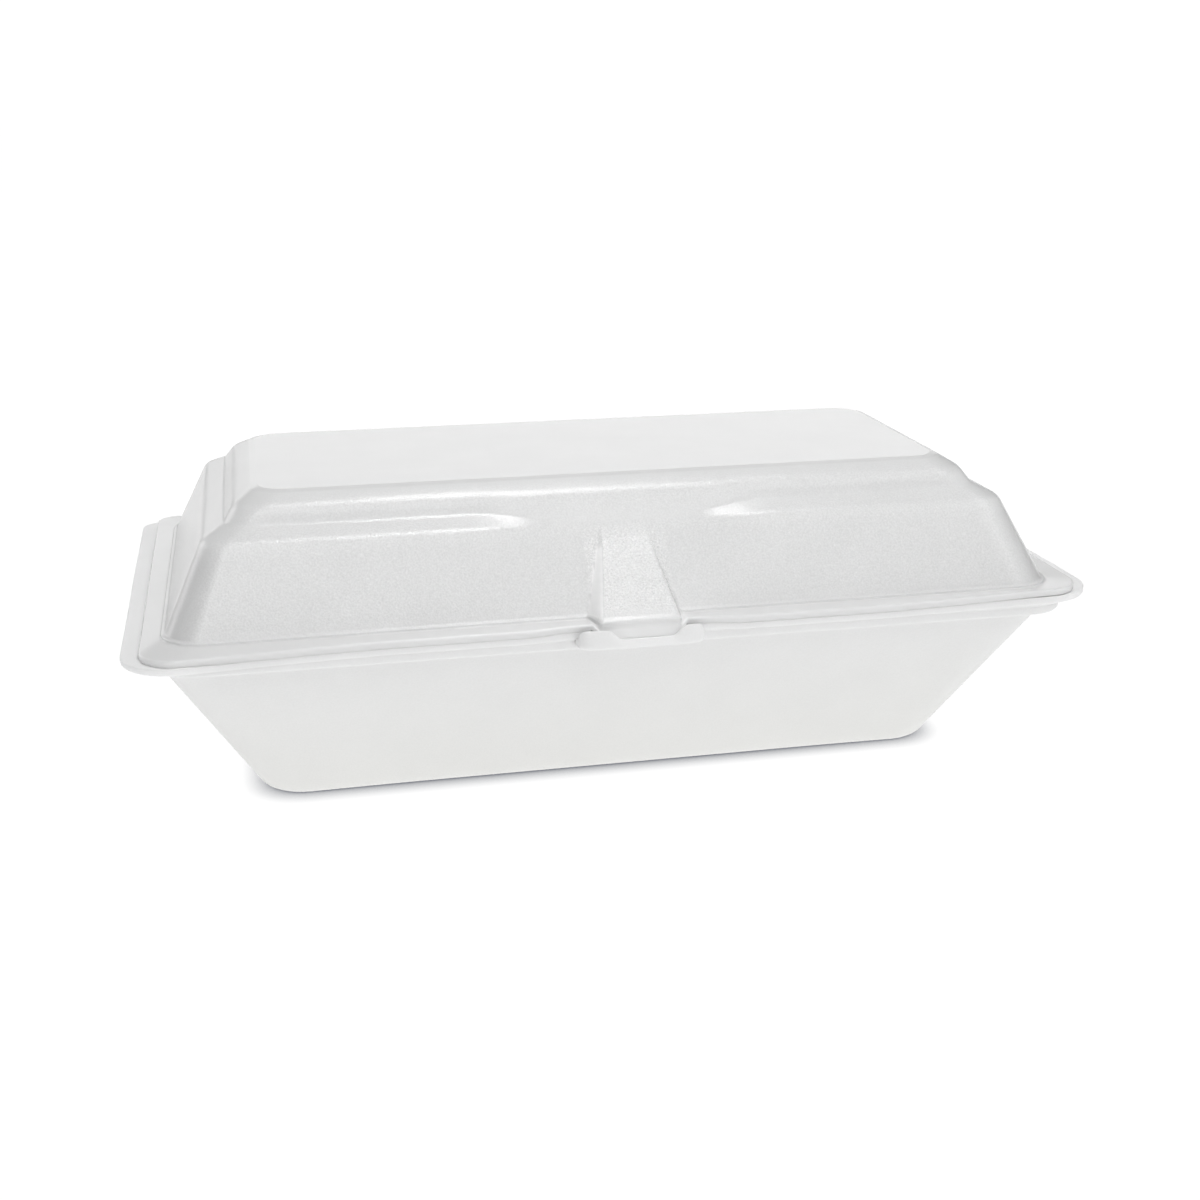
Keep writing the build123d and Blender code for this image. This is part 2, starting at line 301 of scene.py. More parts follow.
to_corner = fade(np.abs(columns[:, 0]) - WARP_START, WARP_FADE)
rim_warp = WARP * np.sign(columns[:, 0]) * to_corner * fade(WARP_BEHIND - columns[:, 1], WARP_FADE)
lift_share = fade(LIFT_REACH - np.abs(column_x), LIFT_FADE)
near_share = fade(NEAR_REACH - np.abs(column_x), NEAR_FADE)
print("rim is warped by up to", round(np.abs(rim_warp).max(), 5))

# %% Cut the lip back behind the slot
BAND_IN_END = 0.0068     # the band under the lip stands in this far from the lip's edge
BAND_IN_SIDE = 0.0010
SLOT_HALF = 0.01225
SLOT_BACK = BAND_IN_SIDE - RIM_DEPTH / 2
SLOT_REST = 0.0004       # the slot's ends start this far outside it
SLOT_EDGE = 0.0009       # and run in over this length
LIP_SHADE = 0.0005       # how far the lip lies behind the flange
LIP_SHADE_FADE = 0.020   # the length over which it gets there from each corner
LIP_LIFT, LIP_LIFT_NEAR = 0.0008, 0.0003

slot_share = fade(SLOT_HALF + SLOT_REST - np.abs(column_x), SLOT_EDGE)
shade_share = fade(RIM_LENGTH / 2 - LIP_CORNER - np.abs(column_x), LIP_SHADE_FADE)
for level in (lip_low, lip_edge, lip_high):
    level[:, 1] += shade_share * LIP_SHADE
    level[:, 1] += slot_share * (SLOT_BACK - level[:, 1])
    level[:, 2] += rim_warp + (LIP_LIFT * lift_share + LIP_LIFT_NEAR * near_share) * (1 - slot_share)
print("lip is cut back over", int((slot_share > 0).sum()), "columns")

# %% [markdown]
# ### One skin for the tray
#
# The tray's levels are put in order, each with its radius, its grain and its painted shading.
# They could be several meshes joined later, but one list gives one skin with no seams. The lip is painted
# paler than the walls, a painted highlight, so its painted shading is below nothing.

# %% Tray skin
# painted light on the lip, a painted highlight; the bar gets a third of it
LIP_PAINTED_LIGHT = -0.6
LIP_GRAIN = 0.2
ledge_in = (BAND_IN_END + WALL, BAND_IN_SIDE + WALL)
inner = (TRAY_IN_END, TRAY_IN_SIDE)
floor_cap = (FLOOR_LENGTH - FLOOR_MARGIN, FLOOR_DEPTH - FLOOR_MARGIN, FLOOR_CORNER)
tray_levels = [
    # points, radius, grain, painted shading
    (loop(*floor_cap, 0), 0, 0.2, 0),
    (tray_loop(0, 0, 0, 0), 0.0050, 0.2, 0),
    (tray_loop(0, 0, 1, MOUTH_Z), 0.0010, 0.3, 0),
    (rim_loop(BAND_IN_END, BAND_IN_SIDE, MOUTH_Z), 0.0010, 0.2, 0),
    (rim_loop(BAND_IN_END, BAND_IN_SIDE, LIP_UNDERSIDE), 0.0004, 0.2, 0),
    (lip_low, 0.0006, LIP_GRAIN, LIP_PAINTED_LIGHT),
    (lip_edge, 0.0002, LIP_GRAIN, LIP_PAINTED_LIGHT),
    (lip_high, 0.0004, LIP_GRAIN, LIP_PAINTED_LIGHT),
    (rim_loop(*ledge_in, PARTING), 0.0008, 0.3, 0),
    (rim_loop(*ledge_in, MOUTH_Z + WALL), 0.0006, 0.3, 0),
    (tray_loop(*inner, 1, MOUTH_Z + WALL), 0.0015, 0.6, 0),
    (tray_loop(*inner, 0, WALL), 0.0045, 0.6, 0),
    (loop(*floor_cap, WALL), 0, 0.6, 0),
]
tray = foam_piece("tray_skin", smooth_skin(
    [with_foam(level, grain, painted_shading) for level, radius, grain, painted_shading in tray_levels],
    [radius for level, radius, grain, painted_shading in tray_levels],
))

# %% [markdown]
# ### The bar of the lock
#
# The bar is pressed in one with the lip: it leaves the lip beside the slot, crosses the front and returns.
# It hangs a little in the middle and its ends turn up. A curve with a bevel would have the same section all
# along, so the bar is a rounded section carried along a path, which may swell and rise on its way.

# %% Sizes of the lock bar
BAR_FRONT = tray_low.y
BAR_BACK = -0.0653
BAR_ROOT = -RIM_DEPTH / 2 + 0.0012
BAR_HALF = 0.01625
BAR_BOTTOM = PARTING - 0.0031
BAR_TOP = PARTING - 0.0010
BAR_RISE = 0.0026        # how far the ends turn up
BAR_LOW_MIDDLE = 0.0012  # the low stretch lies a little to the right
BAR_LOW_HALF = 0.0062    # half of the low stretch
BAR_BEND = 0.0038        # the length over which an end turns up
BAR_LEAN = 0.0012        # how far the front leans back at the top
BAR_SWELL = 0.3          # how much thicker the ends are, as a share
BAR_CLEAR = 0.0015       # the ends turn up only where they are this far in front of the root
BAR_CLEAR_FADE = 0.0020
BAR_PATH_POWER = 1 / 3   # makes the corners of the path nearly square
BAR_SECTION_POWER = 0.6  # and those of the section rounded
BAR_STATIONS = 140
BAR_ROUND = 28
print("lock bar stands out to y", round(BAR_FRONT, 5))


# %% Lock bar in front of the slot
def signed_power(wave, power):
    """A sine or cosine wave squared off: its sign times its size to the power."""
    return np.sign(wave) * np.abs(wave) ** power


def lock_bar(name):
    """A rounded bar along a U, as (across, up) of a superellipse about each point of the path.

    The path is x = -a cos^p, y = root - b sin^p of an angle from 0 to pi, nearly square at its corners.
    """
    angle = np.linspace(0, np.pi, BAR_STATIONS)
    turn = np.linspace(0, 2 * np.pi, BAR_ROUND, endpoint=False)
    thick = (BAR_BACK - BAR_FRONT) / 2
    x = -(BAR_HALF - (1 + BAR_SWELL) * thick) * signed_power(np.cos(angle), BAR_PATH_POWER)
    y = BAR_ROOT + (BAR_FRONT + thick - BAR_ROOT) * np.abs(np.sin(angle)) ** BAR_PATH_POWER
    tangent = np.stack([np.gradient(x), np.gradient(y)], axis=1)
    tangent /= np.linalg.norm(tangent, axis=1, keepdims=True)
    across = signed_power(np.cos(turn), BAR_SECTION_POWER)
    up = signed_power(np.sin(turn), BAR_SECTION_POWER)
    wide = thick * (1 + BAR_SWELL * np.abs(x / BAR_HALF) ** 4)
    ahead_of_lip = fade(BAR_ROOT - BAR_CLEAR - y, BAR_CLEAR_FADE)
    bottom = np.full(BAR_STATIONS, BAR_BOTTOM)
    top = BAR_TOP + BAR_RISE * fade(np.abs(x - BAR_LOW_MIDDLE) - BAR_LOW_HALF, BAR_BEND) * ahead_of_lip
    forward = (tangent[:, 0] * wide)[:, None] * across
    rows = np.zeros((BAR_STATIONS, BAR_ROUND, 5))
    rows[:, :, 0] = x[:, None] + (tangent[:, 1] * wide)[:, None] * across
    rows[:, :, 1] = y[:, None] - forward + BAR_LEAN * np.clip(forward / thick, 0, 1) * (1 + up) / 2
    rows[:, :, 2] = (bottom + top)[:, None] / 2 + (top - bottom)[:, None] / 2 * up
    rows[:, :, 3] = LIP_GRAIN
    # painted light on the bar, a third of the lip's
    rows[:, :, 4] = LIP_PAINTED_LIGHT / 3
    return foam_piece(name, rows)


bar = lock_bar("lock_bar")

# %% [markdown]
# ## The lid
#
# The lid's profile climbs from the rim over a small upright bead, up the leaning wall to a shoulder, along
# a sloping shelf to a crease, and up a low second wall. That wall rounds over widely into a margin, which
# slopes up to the flat raised panel. The lid could be sculpted, but a list of levels keeps each height and
# length a plain number. The same list moved in by the sheet's thickness gives the inside.

# %% Sizes of the lid
FLANGE_TOP = PARTING + RIM_WALL
BEAD = 0.0009            # how far the bead stands out from the wall's foot
BEAD_TOP = FLANGE_TOP + 0.0007
FOOT_Z = BEAD_TOP + 0.0003
FOOT_LENGTH = MOUTH_LENGTH - 2 * 0.0032
LEAN_END, LEAN_SIDE = 0.0098, 0.0100
SHOULDER_Z = PARTING + 0.0230
SHOULDER_LENGTH = FOOT_LENGTH - 2 * LEAN_END
SHOULDER_DEPTH = MOUTH_DEPTH - 2 * LEAN_SIDE
SHELF_Z = SHOULDER_Z + 0.0028
SHELF_LENGTH = SHOULDER_LENGTH - 2 * 0.0056
SHELF_DEPTH = SHOULDER_DEPTH - 2 * 0.0062
PANEL_TOP = lid_high.z
MARGIN_Z = PANEL_TOP - 0.0005
TOP_Z = PANEL_TOP - 0.0030
TOP_LENGTH = SHELF_LENGTH - 2 * 0.0026
TOP_DEPTH = SHELF_DEPTH - 2 * 0.0011
PANEL_LENGTH = SHELF_LENGTH - 2 * 0.0086
PANEL_DEPTH = SHELF_DEPTH - 2 * 0.0078
PANEL_BEVEL = 0.0034     # how much longer and deeper the panel is at its foot
PANEL_MARGIN = 0.030     # how much smaller the cap in the panel's middle is
LID_IN_END = sheet_inset(LEAN_END, SHOULDER_Z - PARTING)
LID_IN_SIDE = sheet_inset(LEAN_SIDE, SHOULDER_Z - PARTING)
print("shoulder", round(SHOULDER_LENGTH, 4), "x", round(SHOULDER_DEPTH, 4), "panel at", round(PANEL_TOP, 5))


# %% Lid levels
def lid_face(inset_end, inset_side, drop):
    """The levels of one face of the lid from the panel outwards, moved in by the insets and down by drop."""
    def level(length, depth, corner, height):
        return loop(length - 2 * inset_end, depth - 2 * inset_side, corner - inset_end, height - drop)

    return {
        "panel_middle": level(PANEL_LENGTH - PANEL_MARGIN, PANEL_DEPTH - PANEL_MARGIN, 0.005, PANEL_TOP),
        "panel_edge": level(PANEL_LENGTH, PANEL_DEPTH, 0.0070, PANEL_TOP),
        "panel_foot": level(PANEL_LENGTH + PANEL_BEVEL, PANEL_DEPTH + PANEL_BEVEL, 0.0078, MARGIN_Z),
        "top": level(TOP_LENGTH, TOP_DEPTH, 0.0080, TOP_Z),
        "shelf": level(SHELF_LENGTH, SHELF_DEPTH, 0.0060, SHELF_Z),
        "shoulder": level(SHOULDER_LENGTH, SHOULDER_DEPTH, 0.0070, SHOULDER_Z),
        "foot": level(FOOT_LENGTH, MOUTH_DEPTH, 0.0090, FOOT_Z),
        "bead_top": level(FOOT_LENGTH + 2 * BEAD, MOUTH_DEPTH + 2 * BEAD, 0.0099, BEAD_TOP),
        "bead_foot": level(FOOT_LENGTH + 2 * BEAD, MOUTH_DEPTH + 2 * BEAD, 0.0099, FLANGE_TOP),
    }


outside = lid_face(0, 0, 0)
inside = lid_face(LID_IN_END, LID_IN_SIDE, WALL)
inside["bead_foot"][:, 2] = PARTING
print("lid levels:", list(outside))

# %% [markdown]
# ### The saddle over the lock
#
# At the front middle the shelf melts into one slope: the shoulder steps back and sinks there, and the
# crease behind it comes forward and down until it runs into the shoulder. Sculpting could smooth the step
# away. Here one smooth share along the front drives both moves, so the stepped form runs in and out of the
# slope without a kink.

# %% Melt the shelf at the front
SADDLE_OUTER, SADDLE_INNER = 0.0390, 0.0120
SADDLE_SETBACK = 0.0028
SADDLE_DROP = 0.0012
SADDLE_CREASE = 0.15     # where the crease ends, as a share of the way from shoulder to top
RAMP_TOP = SHOULDER_Z - 0.0040
WALL_STEPS = 7           # levels of the lower wall that the ramp is pressed into

saddle_share = fade(SADDLE_OUTER - np.abs(column_x), SADDLE_OUTER - SADDLE_INNER)


def melt(face):
    """Move shoulder and crease by the share, and divide the lower wall evenly from ramp top to foot."""
    face["shoulder"][:, 1] += saddle_share * SADDLE_SETBACK
    face["shoulder"][:, 2] -= saddle_share * SADDLE_DROP
    merged = face["shoulder"] + SADDLE_CREASE * (face["top"] - face["shoulder"])
    face["shelf"][:, 1:] += saddle_share[:, None] * (merged - face["shelf"])[:, 1:]
    climb = (RAMP_TOP - FOOT_Z) / (SHOULDER_Z - FOOT_Z)
    shares = climb * (1 - np.arange(WALL_STEPS) / WALL_STEPS)
    return [face["foot"] + share * (face["shoulder"] - face["foot"]) for share in shares]


outside_wall = melt(outside)
inside_wall = melt(inside)
print("saddle lies over", int((saddle_share > 0).sum()), "columns")

# %% [markdown]
# ### The rim of the lid
#
# The flange lies on the tray's lip. Towards the lock it bends up a little, because the tongue holds it
# there. It could be a separate strip; as three more levels of the lid's own skin it needs no joint.

# %% Flange
FLANGE_LENGTH = lid_high.x - lid_low.x - 2 * 0.0015
FLANGE_DEPTH = RIM_DEPTH - 0.0004
FLANGE_SHIFT = 0.0002
FLANGE_CORNER = 0.0090


def flange_loop(height, lift, near, groove=0.0):
    """The flange's outline at one height, bent up by lift towards the lock and by near beside the ramp."""
    level = loop(FLANGE_LENGTH, FLANGE_DEPTH, FLANGE_CORNER, height, FLANGE_SHIFT, RIM_CORNER_BACK)
    level[:, 1] -= at_hinge * groove
    level[:, 2] += rim_warp + lift_share * lift + near_share * near
    return level


rim_top = flange_loop(FLANGE_TOP, 0.0005, 0.0, GROOVE)
rim_side = flange_loop(PARTING + RIM_WALL / 2, 0.0006, 0.0001)
rim_bottom = flange_loop(PARTING, 0.0007, 0.0002)
rim_side[:, 2] -= at_hinge * (RIM_WALL / 2 - HINGE_WEB)
print("flange", round(FLANGE_LENGTH, 4), "raised beside the lock to", round(rim_bottom[:, 2].max(), 4))

# %% [markdown]
# ### The ramp and the tongue
#
# The ramp is a flat flared slope that leaves the wall below the shoulder and runs out past the rim. Below
# its sill the sheet drops straight down as the tongue. A wedge could be joined to the wall with a Boolean,
# but the real sheet runs through. So in the ramp's columns each level of the wall is moved onto the ramp's
# line, and its flanks fall back to the wall on both sides, wider where the ramp is deeper.

# %% Sizes of the ramp and the tongue
TONGUE_FRONT = lid_low.y
TONGUE_BACK = TONGUE_FRONT + RIM_WALL
TONGUE_BOTTOM = lid_low.z
TONGUE_HALF = 0.01175
TONGUE_EDGE = 0.0008     # the length over which the tongue's sides run out
SILL_Z = PARTING + 0.0030
SILL_ARCH = 0.0004
SILL_LEDGE = 0.0005      # how far the tongue stands back under the sill
RAMP_HALF_LOW = 0.0100
RAMP_HALF_HIGH = 0.0060
RAMP_AT_FOOT = 0.94      # how far down the ramp the wall's foot lies, as a share
FLANK_TOP, FLANK_HIGH, FLANK_LOW = 0.0003, 0.0006, 0.0016
ramp_high_y = outside_wall[0][FRONT_COLUMNS // 2, 1]
print("ramp from y", round(ramp_high_y, 4), "to", round(TONGUE_FRONT, 4))


# %% Press the ramp into the front
def press(level, half, flank, y, z):
    """Move a level's columns to (y, z): fully within half, falling straight to nothing across the flank.

    Gives back 1 on the left flank and its two edges, where painted light and a painted glow go, and 0
    elsewhere.
    """
    share = np.clip(1 - (np.abs(column_x) - half) / flank, 0, 1)
    level[:, 1] += share * (y - level[:, 1])
    level[:, 2] += share * (z - level[:, 2])
    flank_columns = ((share > 0) & (share < 1) & (column_x < 0)).astype(float)
    return np.maximum(flank_columns, np.maximum(np.roll(flank_columns, 1), np.roll(flank_columns, -1)))


def press_ramp(wall, face, thick):
    """Press a face's wall levels and foot onto the ramp: y, z and half width run straight to the sill."""
    flanks = []
    for number, level in enumerate(wall + [face["foot"]]):
        s = number / WALL_STEPS * RAMP_AT_FOOT
        half = RAMP_HALF_HIGH + s * (RAMP_HALF_LOW - RAMP_HALF_HIGH) - thick
        flank = FLANK_HIGH + s * (FLANK_LOW - FLANK_HIGH)
        y = ramp_high_y + s * (TONGUE_FRONT - ramp_high_y) + thick
        z = RAMP_TOP + s * (SILL_Z - RAMP_TOP) - thick
        flanks.append(press(level, half, flank if number else FLANK_TOP, y, z))
    return flanks


outside_flanks = press_ramp(outside_wall, outside, 0)
inside_flanks = press_ramp(inside_wall, inside, WALL)
print("columns of the left flank at the foot:", int(outside_flanks[-1].sum()))

# %% Press the sill and the tongue
sill_z = SILL_Z + SILL_ARCH * (1 - np.minimum(np.abs(column_x) / RAMP_HALF_LOW, 1) ** 2)
under_sill = TONGUE_FRONT + SILL_LEDGE
# each line gives a level, its half width, the length over which it runs out, and its y and z
press(outside["bead_top"], RAMP_HALF_LOW, FLANK_LOW, TONGUE_FRONT, sill_z)
press(outside["bead_foot"], RAMP_HALF_LOW + 0.0002, FLANK_LOW, under_sill, SILL_Z - 0.0008)
press(rim_top, TONGUE_HALF - 0.0012, 0.0012, under_sill, SILL_Z - 0.0020)
press(rim_side, TONGUE_HALF - TONGUE_EDGE, TONGUE_EDGE, TONGUE_FRONT, PARTING - 0.0010)
press(rim_bottom, TONGUE_HALF - TONGUE_EDGE, TONGUE_EDGE, TONGUE_FRONT, TONGUE_BOTTOM)
press(inside["bead_foot"], TONGUE_HALF - 0.0010, TONGUE_EDGE, TONGUE_BACK, TONGUE_BOTTOM)
press(inside["bead_top"], RAMP_HALF_LOW - WALL, 0.0030, TONGUE_BACK, SILL_Z - WALL)
print("tongue hangs from z", round(SILL_Z, 4), "to", round(rim_bottom[:, 2].min(), 4))

# %% [markdown]
# ### One skin for the lid
#
# The levels are put in order: the inside from the panel down to the rim, round the flange's edge, and the
# outside up to the panel again. Each has its radius, its grain and its painted shading. These two could be
# painted by hand as vertex colours; worked out from the columns they follow the form. Shade is painted into
# the corners of the walls, with a painted highlight streak beside each corner, and a little onto the walls.
# The ramp gets painted light, and its left flank and the tongue get painted light and a painted glow.

# %% Where the lid's foam is coarse, and where shade and light are painted
HIGHLIGHT_STREAK, HIGHLIGHT_STREAK_PART = 0.5, 0.2    # a painted highlight streak beside each corner, over this part of it
QUIET_SIDES = 0.3                 # grain of the ends and the back, as a share of the front's
QUIET_COLUMNS = 8                 # columns over which the grain changes
# painted shade on the lid's walls, and painted light on the ramp
WALL_PAINTED_SHADE, RAMP_PAINTED_LIGHT = 0.2, 0.4
# painted light and a painted glow on the tongue, against the shade beside the lock
TONGUE_PAINTED_LIGHT = -0.9

# painted shade in the corners of the lid's walls, strongest in the middle of each corner
turned = np.arange(CORNER_COLUMNS) / CORNER_COLUMNS
to_end = np.sin(np.pi * turned) - HIGHLIGHT_STREAK * fade(HIGHLIGHT_STREAK_PART - turned, HIGHLIGHT_STREAK_PART)
to_side = np.sin(np.pi * (1 - turned)) - HIGHLIGHT_STREAK * fade(turned - (1 - HIGHLIGHT_STREAK_PART), HIGHLIGHT_STREAK_PART)
no_front, no_end, no_back = np.zeros(FRONT_COLUMNS), np.zeros(END_COLUMNS), np.zeros(BACK_COLUMNS)
corner_painted_shading = np.concatenate([no_front, to_end, no_end, to_side, no_back, to_end, no_end, to_side])
on_front = fade(FRONT_COLUMNS + QUIET_COLUMNS - place, QUIET_COLUMNS)
on_front += fade(place + QUIET_COLUMNS - len(columns), QUIET_COLUMNS)
coarse = QUIET_SIDES + (1 - QUIET_SIDES) * on_front
on_ramp = fade(RAMP_HALF_LOW + 0.0010 - np.abs(column_x), 0.0012)
# painted light on the ramp, paler than the walls
wall_painted_shading = WALL_PAINTED_SHADE - RAMP_PAINTED_LIGHT * on_ramp
tongue_painted_light = TONGUE_PAINTED_LIGHT * fade(TONGUE_HALF + 0.0010 - np.abs(column_x), 0.0015)
print("drawn from", round(wall_painted_shading.min(), 2), "on the ramp to", round(corner_painted_shading.max(), 2), "in the corners")

# %% Lid skin
FLANK_PAINTED_LIGHT = -1.3        # painted light and a painted glow keep the ramp's left flank white where it would lie in shade
RAMP_GRAIN = 0.9         # how much grainier the ramp is than the wall
RIM_GRAIN = 0.1
lid_foam_levels = {
    # radius, grain, painted shade in the corners
    "panel_middle": (0, 0.10, 0), "panel_edge": (0.0005, 0.10, 0), "panel_foot": (0.0004, 0.15, 0),
    "top": (0.0065, 1.0, 0.3), "shelf": (0.0032, 0.6, 0.2), "shoulder": (0.0048, 1.0, 0.5),
    "wall": (0.0010, 0.9, 0.8), "foot": (0.0008, 0.7, 0.8), "bead_top": (0.0005, 0.5, 0.2),
    "bead_foot": (0.0010, 0.1, 0),
}


def lid_stack(face, wall, flanks):
    """One face's levels in order, the wall's before its foot, each as (points with foam, radius)."""
    stack = []
    for name, level in face.items():
        radius, grain, painted_shading = lid_foam_levels[name]
        flank_painted_light = 0
        if name == "foot":
            # painted light and a painted glow on the left flank at the foot
            flank_painted_light = FLANK_PAINTED_LIGHT * flanks[-1]
            wall_radius, wall_grain, corner_painted_shade = lid_foam_levels["wall"]
            for step, flank in zip(wall, flanks):
                step_grain = (wall_grain + RAMP_GRAIN * on_ramp) * (1 - flank) * coarse
                # painted shade on the wall and its corners, and painted light on the ramp and its left flank
                step_painted_shading = wall_painted_shading + corner_painted_shade * corner_painted_shading + FLANK_PAINTED_LIGHT * flank
                stack.append((with_foam(step, step_grain, step_painted_shading), wall_radius))
        stack.append((with_foam(level, grain * coarse, painted_shading * corner_painted_shading + flank_painted_light), radius))
    return stack


# the rim levels carry painted light and a painted glow on the tongue
rim_stack = [
    (with_foam(rim_bottom, RIM_GRAIN, tongue_painted_light), 0.0001),
    (with_foam(rim_side, RIM_GRAIN, tongue_painted_light), 0.0002),
    (with_foam(rim_top, RIM_GRAIN, tongue_painted_light), 0.0008),
]
inner_stack = lid_stack(inside, inside_wall, inside_flanks)
outer_stack = lid_stack(outside, outside_wall, outside_flanks)
lid = foam_piece("lid_skin", smooth_skin(*zip(*(inner_stack + rim_stack + outer_stack[::-1]))))

# %% [markdown]
# ## The living hinge
#
# Tray and lid are one sheet, thinned to a crease along the back. A small rounded fold bridges the two
# rims. It could stay with one of them, but then it would tear off the other as the box opens. Here it is
# attached to neither and stays where it is.

# %% Fold along the back
FOLD_STATIONS = 60
FOLD_ROUND = 18
FOLD_BACK = -0.25        # the flat back lies this far inside the hinge line, in radii


def hinge_fold(name):
    """Half-round strip along the hinge, closed by a flat back.

    Its section is y = hinge + r * cos(a), z = parting + r * sin(a), with a from -90 to 90 degrees.
    """
    x = np.linspace(-HINGE_HALF, HINGE_HALF, FOLD_STATIONS)
    a = np.linspace(-np.pi / 2, np.pi / 2, FOLD_ROUND)
    back_z = np.array([0.75, 0.3, -0.3, -0.75])
    y = np.concatenate([np.cos(a), np.full(back_z.size, FOLD_BACK)]) * HINGE_WEB
    z = np.concatenate([np.sin(a), back_z]) * HINGE_WEB
    rows = np.zeros((FOLD_STATIONS, y.size, 5))
    rows[:, :, 0] = x[:, None]
    rows[:, :, 1] = RIM_DEPTH / 2 + y
    rows[:, :, 2] = PARTING + z
    rows[:, :, 3] = LIP_GRAIN
    return foam_piece(name, rows)


fold = hinge_fold("hinge_fold")

# %% [markdown]
# ## Writing a finish
#
# A finish is a tree of nodes. It could be joined up link by link, but the sums in it would be hard to read.
# So the shader is written as sums and products: a small class wraps a socket, and its operators add the
# Math nodes. One method makes every other node.

# %% Shader sums as expressions
class Wire:
    """A socket on its way through a material; arithmetic on it adds Math nodes to the same tree."""

    def __init__(self, finish, socket):
        self.finish = finish
        self.socket = socket

    def maths(self, operation, a, b):
        return self.finish.add("ShaderNodeMath", {"operation": operation}, {0: a, 1: b})["Value"]

    def __add__(self, other):
        return self.maths("ADD", self, other)

    def __radd__(self, other):
        return self.maths("ADD", other, self)

    def __sub__(self, other):
        return self.maths("SUBTRACT", self, other)

    def __rsub__(self, other):
        return self.maths("SUBTRACT", other, self)

    def __mul__(self, other):
        return self.maths("MULTIPLY", self, other)

    def __rmul__(self, other):
        return self.maths("MULTIPLY", other, self)

    def __pow__(self, other):
        return self.maths("POWER", self, other)


# %% Any other node
class Finish:
    """A shader under construction: add() makes any node, its settings first and then its sockets."""

    def __init__(self, data):
        data.use_nodes = True
        self.data = data
        self.tree = data.node_tree
        self.tree.nodes.clear()

    def add(self, kind, settings=None, sockets=None):
        node = self.tree.nodes.new(kind)
        for key, value in (settings or {}).items():
            setattr(node, key, value)
        for key, value in (sockets or {}).items():
            if isinstance(value, Wire):
                self.tree.links.new(value.socket, node.inputs[key])
            else:
                node.inputs[key].default_value = value
        return {output.name: Wire(self, output) for output in node.outputs if output.enabled}


# %% [markdown]
# ## Foam
#
# The foam is white and not quite opaque. Its skin is made of pressed cells: a fine grain that catches the
# light on the lid's walls and is ironed smooth on the rims and the panel. The cells could be modelled, but
# they are half a millimetre small, so they are noise in the finish: as bump, as flecks and in the gloss.
# Light sinks in a little (subsurface). The colour also carries painted shade and painted light, and where
# the painted light is strongest the foam gets a faint painted glow.

# %% Foam finish
CELLS_PER_METRE = 2200.0
GRAIN_DEPTH = 0.00011
CLOUDS_PER_METRE = 60.0
CLOUD_SHADE = 0.06       # how much the brightness changes from cloud to cloud
FLECK_SHADE = 0.28       # and from cell to cell where the foam is grainy
PAINTED_SHADE = 0.14       # how much darker the painted shade makes the foam, and how much paler the painted light
CELL_GLOSS = 0.2         # how much the roughness changes from cell to cell
PAINTED_GLOW_FROM = -0.6      # painted shading under this adds a painted glow
PAINTED_GLOW = 0.13
COOL_PER_METRE = 20.0    # the warm tint near the floor is gone after 1 / 20 m
LIGHT_DEPTH = 0.0025     # how deep light sinks into the foam


def foam_finish(name, tint, roughness):
    """White foam: tint * brightness, a little warmer lower down, with the cells as bump and as flecks.

    Brightness is 1 plus a cloudy part and the cells' flecks where grainy, lower by the painted shade and
    higher by the painted light. Where the painted light is strongest, the foam also gets a faint painted
    glow.
    """
    foam = Finish(bpy.data.materials.new(name))
    spot = foam.add("ShaderNodeTexCoord")["Object"]
    height = foam.add("ShaderNodeSeparateXYZ", {}, {0: spot})["Z"]
    grain = foam.add("ShaderNodeAttribute", {"attribute_name": "grain"})["Fac"]
    painted_shading = foam.add("ShaderNodeAttribute", {"attribute_name": "painted_shading"})["Fac"]
    cells = foam.add("ShaderNodeTexNoise", {}, {
        "Vector": spot, "Scale": CELLS_PER_METRE, "Detail": 1.0,
    })["Fac"]
    cloud = foam.add("ShaderNodeTexNoise", {}, {
        "Vector": spot, "Scale": CLOUDS_PER_METRE, "Detail": 3.0,
    })["Fac"]
    flecks = FLECK_SHADE * (cells - 0.5) * grain
    # painted shade makes the foam darker here, and painted light makes it paler
    brightness = 1.0 + CLOUD_SHADE * (cloud - 0.5) + flecks - PAINTED_SHADE * painted_shading
    # a painted glow, emitted where the painted light is strongest
    through = foam.add("ShaderNodeMath", {"operation": "MAXIMUM"}, {0: PAINTED_GLOW_FROM - painted_shading, 1: 0.0})["Value"]
    white = foam.add("ShaderNodeMix", {"data_type": "RGBA"}, {
        "Factor": COOL_PER_METRE * height,
        6: (tint, tint, tint * 0.975, 1), 7: (tint, tint * 1.002, tint * 1.002, 1),
    })["Result"]
    colour = foam.add("ShaderNodeVectorMath", {"operation": "SCALE"}, {
        0: white, "Scale": brightness,
    })["Vector"]
    normal = foam.add("ShaderNodeBump", {}, {
        "Strength": 1.0, "Distance": GRAIN_DEPTH, "Height": cells * grain,
    })["Normal"]
    shader = foam.add("ShaderNodeBsdfPrincipled", {}, {
        "Base Color": colour,
        "Roughness": roughness + CELL_GLOSS * (cells - 0.5) * grain,
        "Normal": normal,
        "Emission Color": PAINTED_GLOW * through,
        "Emission Strength": 1.0,
        "IOR": 1.45,
        "Subsurface Weight": 0.5,
        "Subsurface Radius": (1, 1, 1),
        "Subsurface Scale": LIGHT_DEPTH,
    })["BSDF"]
    foam.add("ShaderNodeOutputMaterial", {}, {"Surface": shader})
    print(name, "nodes", len(foam.tree.nodes))
    return foam.data


lid_foam = foam_finish("lid_foam", 0.80, 0.22)
tray_foam = foam_finish("tray_foam", 0.81, 0.45)

